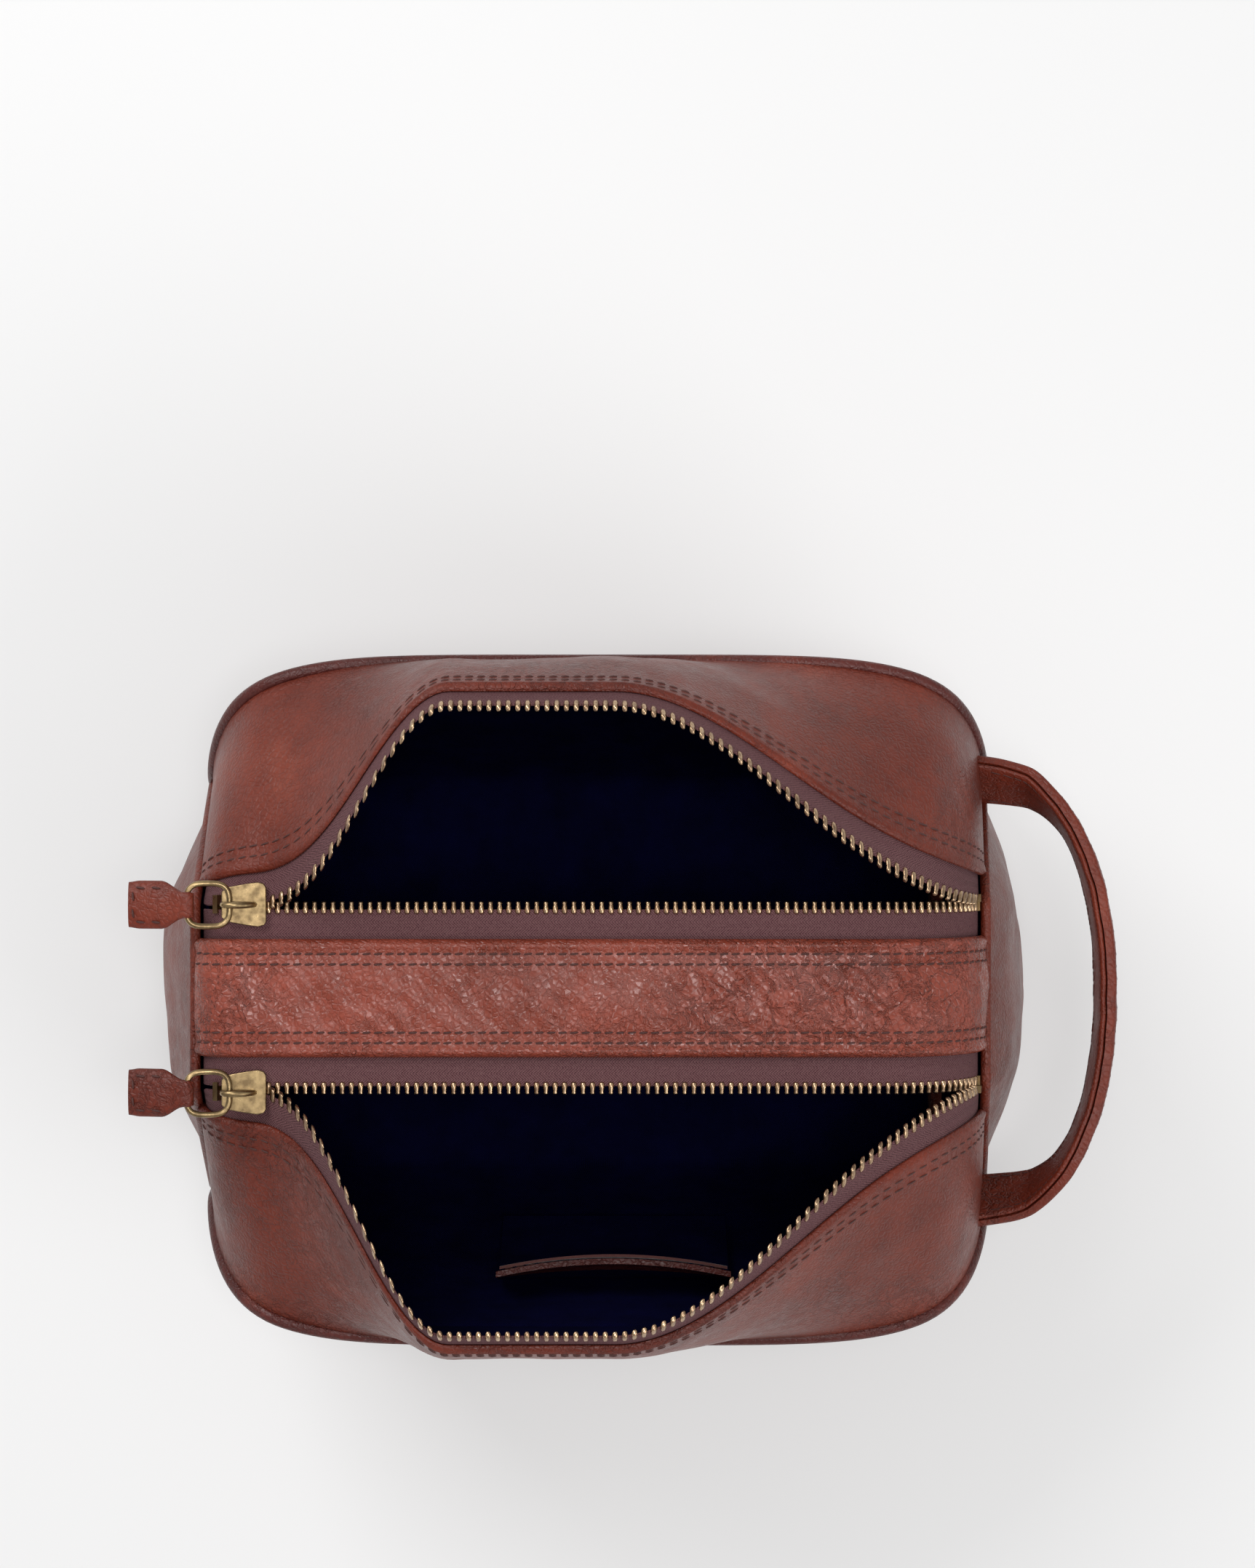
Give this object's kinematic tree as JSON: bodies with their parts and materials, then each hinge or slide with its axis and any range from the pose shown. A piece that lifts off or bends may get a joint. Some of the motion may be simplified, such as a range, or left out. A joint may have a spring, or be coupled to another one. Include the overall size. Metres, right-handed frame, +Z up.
{
  "type": "shaving kit bag",
  "caption": "Soft leather wash bag with two zipped compartments, a centre strip, piped panels, fabric lining and an end carry strap.",
  "frame": {"origin": "centre of the underside of the base", "axes": "+Z up, +X along the bag towards the carry strap, +Y towards the back compartment"},
  "size_m": [0.2726, 0.1928, 0.1932],
  "materials": {
    "leather": "grained reddish-brown leather, satin, darker along folds",
    "piping_leather": "dark brown rolled leather piping, satin",
    "zip_tape": "mauve-brown herringbone zip tape",
    "zip_brass": "antique brass, satin with dark recesses",
    "lining": "plain-woven navy cotton lining",
    "stiffener": "hidden board, interlining and strap filler"
  },
  "bodies": {
    "bag_body": {"front_panel": "leather", "back_panel": "leather", "left_end_panel": "leather", "right_end_panel": "leather", "base_panel": "leather", "base_board": "stiffener", "divider": "stiffener", "centre_strip": "leather", "front_piping": "piping_leather", "back_piping": "piping_leather", "left_welt": "piping_leather", "right_welt": "piping_leather", "front_inner_tape": "zip_tape", "back_inner_tape": "zip_tape", "front_inner_teeth": "zip_brass", "back_inner_teeth": "zip_brass", "front_inner_top_stop": "zip_brass", "back_inner_top_stop": "zip_brass", "front_bottom_stop": "zip_brass", "back_bottom_stop": "zip_brass", "front_lining": "lining", "back_lining": "lining", "left_end_lining": "lining", "right_end_lining": "lining", "pocket_bag": "lining", "pocket_welt": "leather"},
    "front_flap_body": {"front_flap": "leather", "front_flap_facing": "lining", "front_outer_tape": "zip_tape", "front_outer_teeth": "zip_brass", "front_outer_top_stop": "zip_brass"},
    "back_flap_body": {"back_flap": "leather", "back_flap_facing": "lining", "back_outer_tape": "zip_tape", "back_outer_teeth": "zip_brass", "back_outer_top_stop": "zip_brass"},
    "front_slider_body": {"front_slider": "zip_brass", "front_bail": "zip_brass"},
    "back_slider_body": {"back_slider": "zip_brass", "back_bail": "zip_brass"},
    "front_ring_body": {"front_pull_ring": "zip_brass"},
    "back_ring_body": {"back_pull_ring": "zip_brass"},
    "front_tab_body": {"front_pull_tab": "leather"},
    "back_tab_body": {"back_pull_tab": "leather"},
    "carry_strap": {"strap_outer": "leather", "strap_core": "stiffener", "strap_inner": "leather"}
  },
  "joints": [
    {"name": "front_zip_slide", "type": "slide", "parent": "bag_body", "child": "front_slider_body", "axis": [1, 0, 0], "range_m": [0, 0.167]},
    {"name": "front_flap_hinge", "type": "hinge", "parent": "bag_body", "child": "front_flap_body", "pos_m": [0, -0.095, 0.117], "axis": [-1, 0, 0], "range_deg": [0, 58], "deforming": ["front_flap", "front_flap_facing", "front_outer_tape", "front_outer_teeth", "front_outer_top_stop"]},
    {"name": "front_ring_swing", "type": "hinge", "parent": "front_slider_body", "child": "front_ring_body", "pos_m": [-0.0985, -0.0253, 0.1521], "axis": [0, 1, 0], "range_deg": [0, 135]},
    {"name": "front_tab_swing", "type": "hinge", "parent": "front_ring_body", "child": "front_tab_body", "pos_m": [-0.10999, -0.0253, 0.15371], "axis": [0, 1, 0], "range_deg": [0, 75]},
    {"name": "back_zip_slide", "type": "slide", "parent": "bag_body", "child": "back_slider_body", "axis": [1, 0, 0], "range_m": [0, 0.167]},
    {"name": "back_flap_hinge", "type": "hinge", "parent": "bag_body", "child": "back_flap_body", "pos_m": [0, 0.09, 0.117], "axis": [1, 0, 0], "range_deg": [0, 55], "deforming": ["back_flap", "back_flap_facing", "back_outer_tape", "back_outer_teeth", "back_outer_top_stop"]},
    {"name": "back_ring_swing", "type": "hinge", "parent": "back_slider_body", "child": "back_ring_body", "pos_m": [-0.0985, 0.0253, 0.1521], "axis": [0, 1, 0], "range_deg": [0, 135]},
    {"name": "back_tab_swing", "type": "hinge", "parent": "back_ring_body", "child": "back_tab_body", "pos_m": [-0.10999, 0.0253, 0.15371], "axis": [0, 1, 0], "range_deg": [0, 75]},
    {"name": "carry_strap_swing", "type": "hinge", "parent": "bag_body", "child": "carry_strap", "pos_m": [0.112, 0, 0.104], "axis": [0, -1, 0], "range_deg": [-35, 60]}
  ],
  "couplings": [
    {"joint": "front_flap_hinge", "follows": "front_zip_slide", "rad_per_m": 6.061},
    {"joint": "back_flap_hinge", "follows": "back_zip_slide", "rad_per_m": 5.7475}
  ]
}
